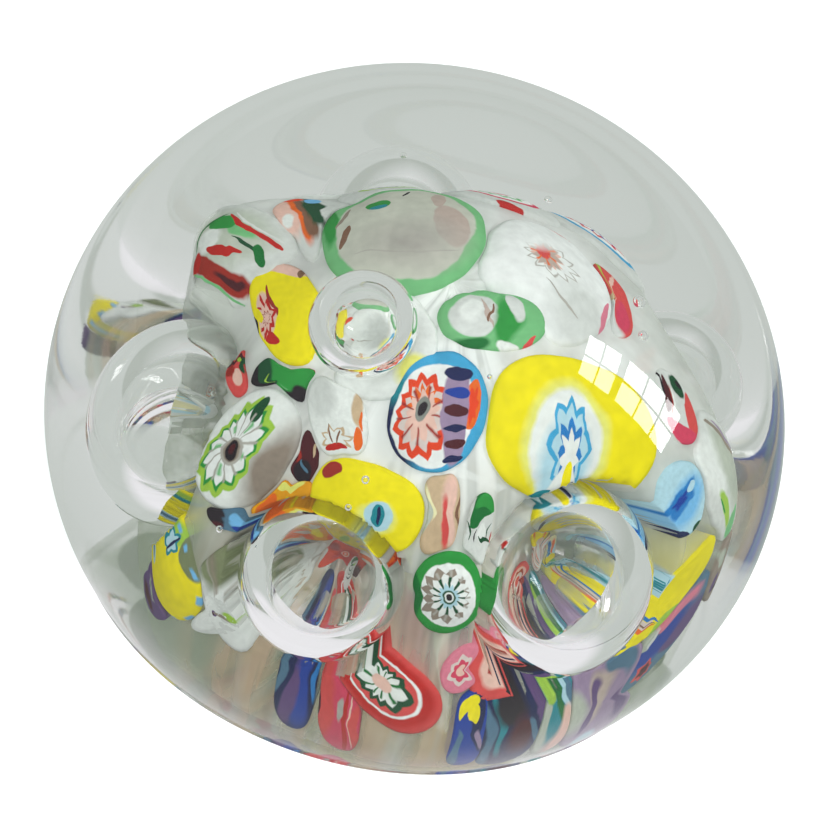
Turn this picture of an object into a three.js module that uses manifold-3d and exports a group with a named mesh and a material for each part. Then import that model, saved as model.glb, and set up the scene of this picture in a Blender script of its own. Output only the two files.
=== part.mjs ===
// A hand-made crystal paperweight, in millimetres, +Z up. It stands on z = 0 with its axis on Z and its
// front towards -Y. A clear outer gather cases a clear inner gather, and slices of patterned cane (murrine)
// lie in the inner gather's surface. The inner gather was pricked before it was cased, so large air bubbles
// sit in dimples round its skirt and a smaller one sits near its top.
import * as THREE from "three";
import { mergeVertices } from "three/addons/utils/BufferGeometryUtils.js";
import Module from "manifold-3d";

const wasm = await Module();
wasm.setup();

// The outer gather: a spheroid wider than high, cut by the flat ground base.
const DOME_RADIUS = 38;
const DOME_RISE = 34; // from the widest circle up to the crown
const BASE_DROP = 18; // from the widest circle down to the base
const RIM_CHAMFER = 0.7; // the ground edge of the base

// The inner gather is described from its heart, a point on the axis, by longitude, latitude and radius.
const HEART_Z = 13;
const GATHER_RADIUS = 18.3;
const GATHER_RISE = 20.4;
const GATHER_FALL = 18.6;
const DIMPLE_EDGE = 1.2; // how softly a dimple runs into the gather
const GAP = 0.3; // clearance between neighbouring pieces
const BUBBLE_WALL = 0.1; // the skin between a bubble and the gather under it

// The gather bulges in a lobe between each pair of bubbles: longitude, latitude, height of the bulge, and its
// spread over longitude and over latitude.
const LOBES = [
  [220, -8, 3.6, 15, 24],
  [288, -4, 2.0, 19, 26],
  [0, 4, 6.4, 19, 22],
  [60, -4, 3.0, 19, 26],
  [162, 27, 5.6, 14, 10],
  [102, -4, -3.4, 19, 26], // a hollow at the back
  [300, -42, 12, 34, 14], // the front skirt, where the canes were drawn down to the base
];

// The trapped air: longitude, latitude, distance from the heart, radius.
const BUBBLES = [
  [193, 2, 16.4, 7.2],
  [257, 3, 17.0, 6.5],
  [322, 6, 17.6, 7.4],
  [40, -4, 19.2, 4.4],
  [103, -2, 17.5, 5.4],
  [231, 64, 22.4, 4.6],
];

// The cane slices, in the order they were laid, an earlier one keeping its outline where two meet: name,
// longitude, latitude, half length, half width, turn of its length from east, squareness, thickness, colour.
const CANES = [
  ["orange_strip_cane", 217, 59, 2.5, 1.3, -10, 2.4, 2.4, 0xd05a28],
  ["milk_grey_cane", 234, 65, 5.0, 4.6, 0, 2.2, 2.8, 0xe4e2dc],
  ["green_ring_cane", 135, 70, 8.6, 7.2, 45, 2, 3.2, 0x4fae62],
  ["teal_red_star_cane", 279, 55, 5.4, 4.3, 78, 2.2, 4, 0x2f8fb0],
  ["big_yellow_blue_star_cane", 331, 43, 8.6, 6.4, -43, 2.6, 3.4, 0xe8e020],
  ["white_green_star_cane", 225, 24, 5.9, 4.1, 86, 2.3, 4.5, 0xe6ece6],
  ["green_ring_star_cane", 289, 10, 4.0, 3.1, 98, 2.2, 4, 0x2f9a48],
  ["yellow_red_star_cane", 196, 49, 5.6, 3.0, 15, 2.6, 3, 0xe8d020],
  ["green_clear_cane", 329, 76, 5.2, 3.0, -33, 2.2, 3, 0x58b868],
  ["white_pink_star_cane", 33, 63, 7.3, 6.4, -49, 2.6, 3.2, 0xefe6e6],
  ["yellow_teal_spot_cane", 263, 28, 5.1, 3.6, 0, 2.8, 3, 0xe8d818],
  ["white_orange_star_cane", 242, 45, 4.2, 2.5, 142, 2.4, 3, 0xeee6dc],
  ["red_lobe_cane", 169, 36, 6.4, 4.4, 58, 2.3, 3, 0xb03024],
  ["pink_white_cane", 154, 50, 5.0, 3.6, 30, 2.4, 2.8, 0xe8c8bc],
  ["green_fold_cane", 181, 28, 4.4, 1.5, 60, 2.2, 2.4, 0x4a9a5a],
  ["blue_star_cane", 351, 15, 3.1, 2.4, 60, 2.4, 3.2, 0x4aa8e0],
  ["yellow_blue_star_cane", 218, -12, 6.0, 3.8, 141, 2.6, 3, 0xe6d820],
  ["red_funnel_cane", 262, 0, 4.6, 2.8, 76, 2.4, 3, 0xc02a20],
  ["clear_green_star_cane", 275.5, 0, 3.8, 1.4, 82, 2.4, 3, 0xdfe8dc],
  ["slant_ring_cane", 278, -14, 5.6, 2.5, -20, 2.3, 3, 0xc43a3a],
  ["yellow_zigzag_cane", 345, -6, 6.4, 2.2, 34, 2.6, 3, 0xe8e030],
  ["cloud_white_cane", 232, -18, 4.4, 2.1, 25, 2.3, 2.8, 0xf0eef0],
  ["violet_side_cane", 216, -24, 2.6, 2.2, 0, 2.2, 2.6, 0x6a4a78],
  ["emerald_cane", 219, 41, 3.4, 2.4, 46, 2.5, 2.6, 0x1f8a3a],
  ["red_leg_cane", 199, 31, 4.6, 1.1, 0, 2.2, 2.2, 0xb84432],
  ["maroon_cane", 238, 34, 3.4, 1.5, 126, 2.4, 2.6, 0x5a2026],
  ["amber_cane", 242, 19, 2.6, 1.8, 30, 2.5, 2.6, 0xe09a20],
  ["steel_blue_cane", 232, 10, 2.8, 1.8, 20, 2.4, 2.6, 0x48708e],
  ["tan_cane", 284, 30, 4.4, 1.7, 92, 2.4, 2.8, 0xcbb294],
  ["green_white_leg_cane", 296, 24, 4.2, 1.4, 84, 2.4, 2.8, 0x3f8a50],
  ["red_pink_cane", 31, 45, 4.2, 2.8, -13, 2.4, 2.8, 0xc05060],
  ["red_ribbon_cane", 6, 27, 3.2, 2.2, 30, 2.2, 2.8, 0xc03a34],
  ["tall_green_white_cane", 5, 10, 5.6, 3.8, 88, 2.3, 3, 0xd8e8d0],
  ["brown_yellow_cane", 4, -10, 2.6, 2.0, 60, 2.4, 2.8, 0x9a7a48],
  ["blue_band_cane", 347, -15, 6.4, 2.4, 34, 2.4, 2.8, 0x2a4a98],
  ["pink_fold_cane", 270, -21, 4.8, 1.9, -80, 2.6, 2.8, 0xd05068],
  ["dark_blue_streak_cane", 259, -22, 4.8, 1.7, -84, 2.6, 2.8, 0x24407a],
  ["pink_flower_cane", 296, -9, 2.1, 1.6, 40, 2.2, 2.6, 0xd88090],
  ["blue_line_cane", 299, -19, 6.4, 1.3, 90, 2.6, 2.6, 0x1c2a90],
  ["navy_cane", 309, -21, 5.4, 3.1, 86, 2.5, 3, 0x27325e],
  ["green_streak_cane", 321, -22, 5.2, 1.8, 88, 2.6, 2.8, 0x2a8078],
  ["mauve_cane", 334, -23, 5.4, 3.6, 82, 2.4, 2.8, 0x8a6a9a],
  ["red_ring_cane", 308, -8, 2.6, 1.7, 20, 2.2, 2.8, 0xb83a40],
  ["white_fan_cane", 246, -3, 4.4, 2.8, 60, 2.4, 2.6, 0xe0d8c8],
  ["orange_fan_cane", 315, 6, 5.4, 3.6, 70, 2.4, 2.8, 0xd8a878],
  ["blue_fan_cane", 331, 6, 4.4, 1.8, 88, 2.4, 2.6, 0x58a0c8],
  ["pale_dimple_cane", 192, 2, 5.4, 4.8, 0, 2.4, 2.6, 0xe4e2d8],
  ["aqua_star_cane", 62, 22, 5.6, 4.4, 20, 2.3, 3.2, 0x58b8c0],
  ["orange_star_cane", 60, -10, 5.4, 4.0, 100, 2.4, 3.2, 0xd87030],
  ["rose_ring_cane", 82, 40, 5.0, 3.8, 0, 2.2, 3, 0xc86a80],
  ["lime_star_cane", 116, 42, 4.8, 3.6, 40, 2.4, 3, 0x9ac040],
  ["cobalt_ring_cane", 138, -6, 5.2, 4.0, 80, 2.4, 3.2, 0x2a50a8],
  ["white_red_star_cane", 128, 22, 4.4, 3.4, 120, 2.3, 3, 0xece4e0],
  ["yellow_green_cane", 84, -12, 4.6, 2.8, 90, 2.5, 2.8, 0xd8d030],
  ["crimson_streak_cane", 108, -20, 5.0, 1.8, 20, 2.5, 2.8, 0x9a2030],
  ["sky_white_cane", 164, -16, 4.8, 2.8, 70, 2.4, 2.8, 0x88b8d8],
  ["moss_cane", 38, -20, 4.6, 2.6, 40, 2.4, 2.8, 0x5a8040],
];

const CANE_REACH = 30; // radius that a slice's wedge runs out to before the gather cuts it

// Facets.
const OUTLINE_POINTS = 12;
const GATHER_COLUMNS = 44;
const GATHER_ROWS = 20;
const DOME_COLUMNS = 48;
const DOME_ROWS = 14;
const BUBBLE_COLUMNS = 16;
const BUBBLE_ROWS = 10;

// The direction of a longitude and latitude in degrees.
function direction(longitude, latitude) {
  const lon = THREE.MathUtils.degToRad(longitude);
  const lat = THREE.MathUtils.degToRad(latitude);
  return new THREE.Vector3(
    Math.cos(lat) * Math.cos(lon),
    Math.cos(lat) * Math.sin(lon),
    Math.sin(lat),
  );
}

// The smaller of two lengths, with the corner between them rounded off.
function softMinimum(a, b, width) {
  const share = THREE.MathUtils.clamp(0.5 + (0.5 * (b - a)) / width, 0, 1);
  return THREE.MathUtils.lerp(b, a, share) - width * share * (1 - share);
}

// How far out the near side of a bubble lies in a direction from the heart.
function nearSide(along, [longitude, latitude, distance, radius]) {
  const middle = distance * along.dot(direction(longitude, latitude));
  const reach = middle ** 2 - distance ** 2 + (radius + BUBBLE_WALL) ** 2;
  return middle > 0 && reach > 0 ? middle - Math.sqrt(reach) : Infinity;
}

// The rise of a lobe in a direction given in degrees.
function lobeRise([middle, height, bulge, width, spread], longitude, latitude) {
  const turn = THREE.MathUtils.euclideanModulo(longitude - middle + 180, 360) - 180;
  const across = turn / width;
  const up = (latitude - height) / spread;
  return bulge * Math.exp(-0.5 * (across ** 2 + up ** 2));
}

// The inner gather's radius in a direction from the heart.
function gatherRadius(along) {
  const longitude = THREE.MathUtils.radToDeg(Math.atan2(along.y, along.x));
  const latitude = THREE.MathUtils.radToDeg(Math.asin(along.z));
  const height = along.z >= 0 ? GATHER_RISE : GATHER_FALL;
  let radius = 1 / Math.hypot(Math.hypot(along.x, along.y) / GATHER_RADIUS, along.z / height);
  for (const lobe of LOBES) radius += lobeRise(lobe, longitude, latitude);
  for (const bubble of BUBBLES) {
    const near = nearSide(along, bubble);
    if (near < radius + DIMPLE_EDGE) radius = softMinimum(radius, near, DIMPLE_EDGE);
  }
  return radius;
}

// A closed geometry as a solid that can be cut.
function solidOf(geometry) {
  geometry.deleteAttribute("normal");
  geometry.deleteAttribute("uv");
  const merged = mergeVertices(geometry, 1e-4);
  return new wasm.Manifold(
    new wasm.Mesh({
      numProp: 3,
      vertProperties: merged.attributes.position.array,
      triVerts: new Uint32Array(merged.index.array),
    }),
  );
}

// Moves every vertex of a geometry to where a rule puts it.
function reshape(geometry, rule) {
  const positions = geometry.attributes.position;
  const point = new THREE.Vector3();
  for (let i = 0; i < positions.count; i += 1) {
    const moved = rule(point.fromBufferAttribute(positions, i));
    positions.setXYZ(i, moved.x, moved.y, moved.z);
  }
  return geometry;
}

// The inner gather's outside about its heart, moved out by a clearance. It runs on below the base until it is
// cut.
function gatherSolid(clearance) {
  const ball = new THREE.SphereGeometry(1, GATHER_COLUMNS, GATHER_ROWS).rotateX(Math.PI / 2);
  return solidOf(
    reshape(ball, (point) => {
      const along = point.clone().normalize();
      return along.clone().multiplyScalar(gatherRadius(along) + clearance);
    }),
  );
}

// The air of one bubble, about the heart.
function bubbleSolid([longitude, latitude, distance, radius]) {
  const centre = direction(longitude, latitude).multiplyScalar(distance);
  const ball = new THREE.SphereGeometry(radius, BUBBLE_COLUMNS, BUBBLE_ROWS);
  return solidOf(ball.translate(centre.x, centre.y, centre.z));
}

// The uncut dome, about the heart.
function domeSolid() {
  const start = Math.asin((RIM_CHAMFER - BASE_DROP) / DOME_RISE);
  const baseRadius = DOME_RADIUS * Math.sqrt(1 - (BASE_DROP / DOME_RISE) ** 2);
  const profile = [new THREE.Vector2(0, 0), new THREE.Vector2(baseRadius - RIM_CHAMFER, 0)];
  for (let row = 0; row < DOME_ROWS; row += 1) {
    const angle = THREE.MathUtils.lerp(start, Math.PI / 2, row / DOME_ROWS);
    profile.push(
      new THREE.Vector2(DOME_RADIUS * Math.cos(angle), BASE_DROP + DOME_RISE * Math.sin(angle)),
    );
  }
  profile.push(new THREE.Vector2(0, BASE_DROP + DOME_RISE));
  const dome = new THREE.LatheGeometry(profile, DOME_COLUMNS);
  return solidOf(dome.rotateX(Math.PI / 2).translate(0, 0, -HEART_Z));
}

// A corner of a cane's outline: a superellipse, from round at squareness 2 to nearly a rectangle.
function outlinePoint(angle, long, wide, squareness) {
  const c = Math.cos(angle);
  const s = Math.sin(angle);
  return new THREE.Vector2(
    long * Math.sign(c) * Math.abs(c) ** (2 / squareness),
    wide * Math.sign(s) * Math.abs(s) ** (2 / squareness),
  );
}

// Where a cane slice lies: its middle on the gather and the directions of its length and width.
function canePlace([, longitude, latitude, , , turn]) {
  const middle = direction(longitude, latitude);
  const east = new THREE.Vector3(-middle.y, middle.x, 0).normalize();
  const lengthwise = east.applyAxisAngle(middle, THREE.MathUtils.degToRad(turn));
  const widthwise = new THREE.Vector3().crossVectors(middle, lengthwise);
  return { spot: middle.multiplyScalar(gatherRadius(middle)), lengthwise, widthwise };
}

// The wedge that one cane slice is cut from, about the heart, grown sideways and inwards by a clearance.
// Its walls run towards the heart, so the slice narrows inwards.
function caneWedge(cane, clearance) {
  const [, , , long, wide, , squareness, thickness] = cane;
  const { spot, lengthwise, widthwise } = canePlace(cane);
  const towards = (x, y) =>
    spot.clone().addScaledVector(lengthwise, x).addScaledVector(widthwise, y).normalize();
  const outline = [];
  for (let k = 0; k < OUTLINE_POINTS; k += 1)
    outline.push(outlinePoint((2 * Math.PI * k) / OUTLINE_POINTS, long, wide, squareness));
  const slab = new THREE.ExtrudeGeometry(new THREE.Shape(outline), {
    depth: 1,
    bevelEnabled: false,
  });
  const growLong = 1 + clearance / long;
  const growWide = 1 + clearance / wide;
  return solidOf(
    reshape(slab, ({ x, y, z }) => {
      const inner = gatherRadius(towards(x, y)) - thickness - clearance;
      return towards(x * growLong, y * growWide).multiplyScalar(z > 0.5 ? CANE_REACH : inner);
    }),
  );
}

// Everything below a height above the base, about the heart.
function groundSolid(height) {
  const side = 2 * DOME_RADIUS;
  const block = new THREE.BoxGeometry(side, side, side);
  return solidOf(block.translate(0, 0, height - HEART_Z - side / 2));
}

// The largest body of a cut piece, without the crumbs that a cut can leave.
function mainBody(solid) {
  return solid.decompose().reduce((best, body) => (body.volume() > best.volume() ? body : best));
}

// A solid as a named mesh whose own origin is at a spot on it.
function meshOf(solid, name, material, spot = new THREE.Vector3()) {
  const { vertProperties, triVerts } = solid.getMesh();
  const geometry = new THREE.BufferGeometry();
  geometry.setAttribute("position", new THREE.BufferAttribute(new Float32Array(vertProperties), 3));
  geometry.setIndex(new THREE.BufferAttribute(new Uint32Array(triVerts), 1));
  geometry.translate(-spot.x, -spot.y, -spot.z);
  const mesh = new THREE.Mesh(geometry, material);
  mesh.name = name;
  mesh.position.copy(spot);
  return mesh;
}

const clearGlass = () =>
  new THREE.MeshStandardMaterial({
    color: 0xe6ece8,
    roughness: 0.02,
    metalness: 0,
    transparent: true,
    opacity: 0.25,
  });

const caneGlass = (color) => new THREE.MeshStandardMaterial({ color, roughness: 0.1, metalness: 0 });

// The casing: the dome, hollowed for the inner gather and the trapped air.
function outerGather() {
  let casing = domeSolid().subtract(gatherSolid(GAP));
  for (const bubble of BUBBLES) casing = casing.subtract(bubbleSolid(bubble));
  return meshOf(mainBody(casing), "outer_gather", clearGlass());
}

// The core: the gather down to the base, with a pocket for every cane slice.
function innerGather(gather, pockets) {
  let core = gather.subtract(groundSolid(0));
  for (const pocket of pockets) core = core.subtract(pocket);
  return meshOf(mainBody(core), "inner_gather", clearGlass());
}

// One slice: its wedge up to the gather's surface and clear of the base and of the slices laid before it.
function caneSlice(cane, i, gather, wedges, pockets) {
  let slice = wedges[i].intersect(gather).subtract(groundSolid(GAP));
  for (const pocket of pockets.slice(0, i)) slice = slice.subtract(pocket);
  return meshOf(mainBody(slice), cane[0], caneGlass(cane[8]), canePlace(cane).spot);
}

const gather = gatherSolid(0);
const wedges = CANES.map((cane) => caneWedge(cane, 0));
const pockets = CANES.map((cane, i) => caneWedge(cane, GAP).add(wedges[i]));

const canes = new THREE.Group();
CANES.forEach((cane, i) => canes.add(caneSlice(cane, i, gather, wedges, pockets)));

const heart = new THREE.Group();
heart.position.z = HEART_Z;
heart.add(outerGather(), innerGather(gather, pockets), canes);

const root = new THREE.Group();
root.name = "paperweight";
root.add(heart);

export default root;
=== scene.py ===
import math

import bpy
import numpy as np
from mathutils import Matrix, Vector
from mathutils.bvhtree import BVHTree


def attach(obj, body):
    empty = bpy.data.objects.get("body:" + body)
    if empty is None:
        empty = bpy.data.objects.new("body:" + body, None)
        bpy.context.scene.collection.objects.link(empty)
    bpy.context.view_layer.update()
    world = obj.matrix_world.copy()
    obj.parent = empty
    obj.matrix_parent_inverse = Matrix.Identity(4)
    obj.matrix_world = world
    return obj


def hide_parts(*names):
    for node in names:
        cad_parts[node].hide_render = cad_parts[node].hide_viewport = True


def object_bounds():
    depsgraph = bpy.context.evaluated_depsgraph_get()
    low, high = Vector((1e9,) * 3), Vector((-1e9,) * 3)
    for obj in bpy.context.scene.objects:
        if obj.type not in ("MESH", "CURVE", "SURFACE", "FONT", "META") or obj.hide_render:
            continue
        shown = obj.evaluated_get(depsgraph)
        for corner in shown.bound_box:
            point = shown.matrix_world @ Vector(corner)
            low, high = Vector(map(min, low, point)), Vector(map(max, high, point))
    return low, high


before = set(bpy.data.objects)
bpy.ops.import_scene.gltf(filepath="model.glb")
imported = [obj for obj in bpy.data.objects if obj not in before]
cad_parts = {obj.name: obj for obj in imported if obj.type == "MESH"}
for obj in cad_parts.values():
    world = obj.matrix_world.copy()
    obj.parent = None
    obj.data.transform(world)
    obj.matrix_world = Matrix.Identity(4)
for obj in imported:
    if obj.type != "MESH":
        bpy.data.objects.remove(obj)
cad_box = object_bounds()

MM = 0.001
BODY = "root"
DOME_NODE = "outer_gather"
CORE_NODE = "inner_gather"

# The CAD box gives the dome's width and height. The canes' walls run towards the heart.
DOME_RADIUS = (cad_box[1].x - cad_box[0].x) / 2
DOME_HEIGHT = cad_box[1].z - cad_box[0].z
HEART = Vector((0, 0, DOME_HEIGHT / 4))
HEART_XYZ = np.array(HEART)

CAMERA_ELEVATION = math.radians(45)
CAMERA_ROLL = math.radians(15)
VIEW_BACK = Vector((0, -math.cos(CAMERA_ELEVATION), math.sin(CAMERA_ELEVATION)))
LEVEL = Vector((1, 0, 0))
TILT = VIEW_BACK.cross(LEVEL)
VIEW_RIGHT = LEVEL * math.cos(CAMERA_ROLL) + TILT * math.sin(CAMERA_ROLL)
VIEW_UP = TILT * math.cos(CAMERA_ROLL) - LEVEL * math.sin(CAMERA_ROLL)

# Where each large bubble is looked for in the casing: longitude, latitude, distance from the heart and
# radius in mm. A sphere is then fitted to the CAD surface there.
BUBBLE_SEARCH = [
    (193, 2, 16.4, 7.2),
    (257, 3, 17.0, 6.5),
    (322, 6, 17.6, 7.4),
    (40, -4, 19.2, 4.4),
    (103, -2, 17.5, 5.4),
    (231, 64, 22.4, 4.6),
]
FIT_BAND = 0.5 * MM

# Bubbles too small to be in the CAD: longitude, latitude, height above the core and radius in mm.
SEEDS = [
    (172.8, 6.2, 1.6, 0.42),
    (232.5, 7.3, 1.6, 0.30),
    (27.2, 40.8, 1.6, 0.50),
    (13.4, 42.3, 1.6, 0.42),
    (261.1, 35.1, 1.6, 0.36),
    (259.4, 28.0, 1.6, 0.30),
    (303.0, -7.1, 1.2, 0.34),
    (62, 58, 3.0, 0.34),
    (118, 55, 3.5, 0.30),
    (300, 62, 2.4, 0.22),
]
BUBBLE_GRID = (96, 48)  # columns and rows
SEED_GRID = (24, 12)

DIMPLE_EDGE = 1.2 * MM
BUBBLE_WALL = 0.1 * MM
CANE_INSET = 0.12 * MM
CANE_STEPS = 4  # touching neighbours lie a little deeper in turn, so that one clearly covers the other
CANE_STEP = 0.04 * MM
CORE_INSET = 0.5 * MM  # the clouded glass shows between the canes, a little below their faces
GROUND_GAP = 0.02 * MM  # what is cased keeps this far above the base

# The colours of the glass.
PALETTE = dict(
    clear="d4dad2", milk="d8ddd9", sage="c3ccbc", white="e2e6e4", porcelain="dce1dd", pearl="cfc2bc",
    bone="bcbfb2", cream="e0dcae", petal="dcb6a8", blush="b4a49a", pink="d0788c", rose="c8405c",
    coral="cc4a48", red="b4201c", scarlet="d8401c", brick="962a22", maroon="4a1a22", orange="dd6420",
    amber="dd9818", tan="c0a888", brown="7a5844", taupe="8c8074", ash="a6a49c", grey="80847e",
    dark="241c24", yellow="e6d80c", lemon="dcdc70", lime="98c044", olive="7a855f", fresh="70b67a",
    green="2a8c3c", forest="16482c", emerald="146a30", teal="17808c", cyan="3c9cc8", powder="a8ccd8",
    sky="6fb0dc", blue="2474b8", steel="4c7088", cobalt="1c3c94", navy="161f4c", violet="5c4474",
    mauve="93809c",
)
# How much of what is behind them these hide. The other colours are opaque.
OPACITY = dict(clear=0.15, milk=0.8, sage=0.7, olive=0.7, fresh=0.95)

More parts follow.
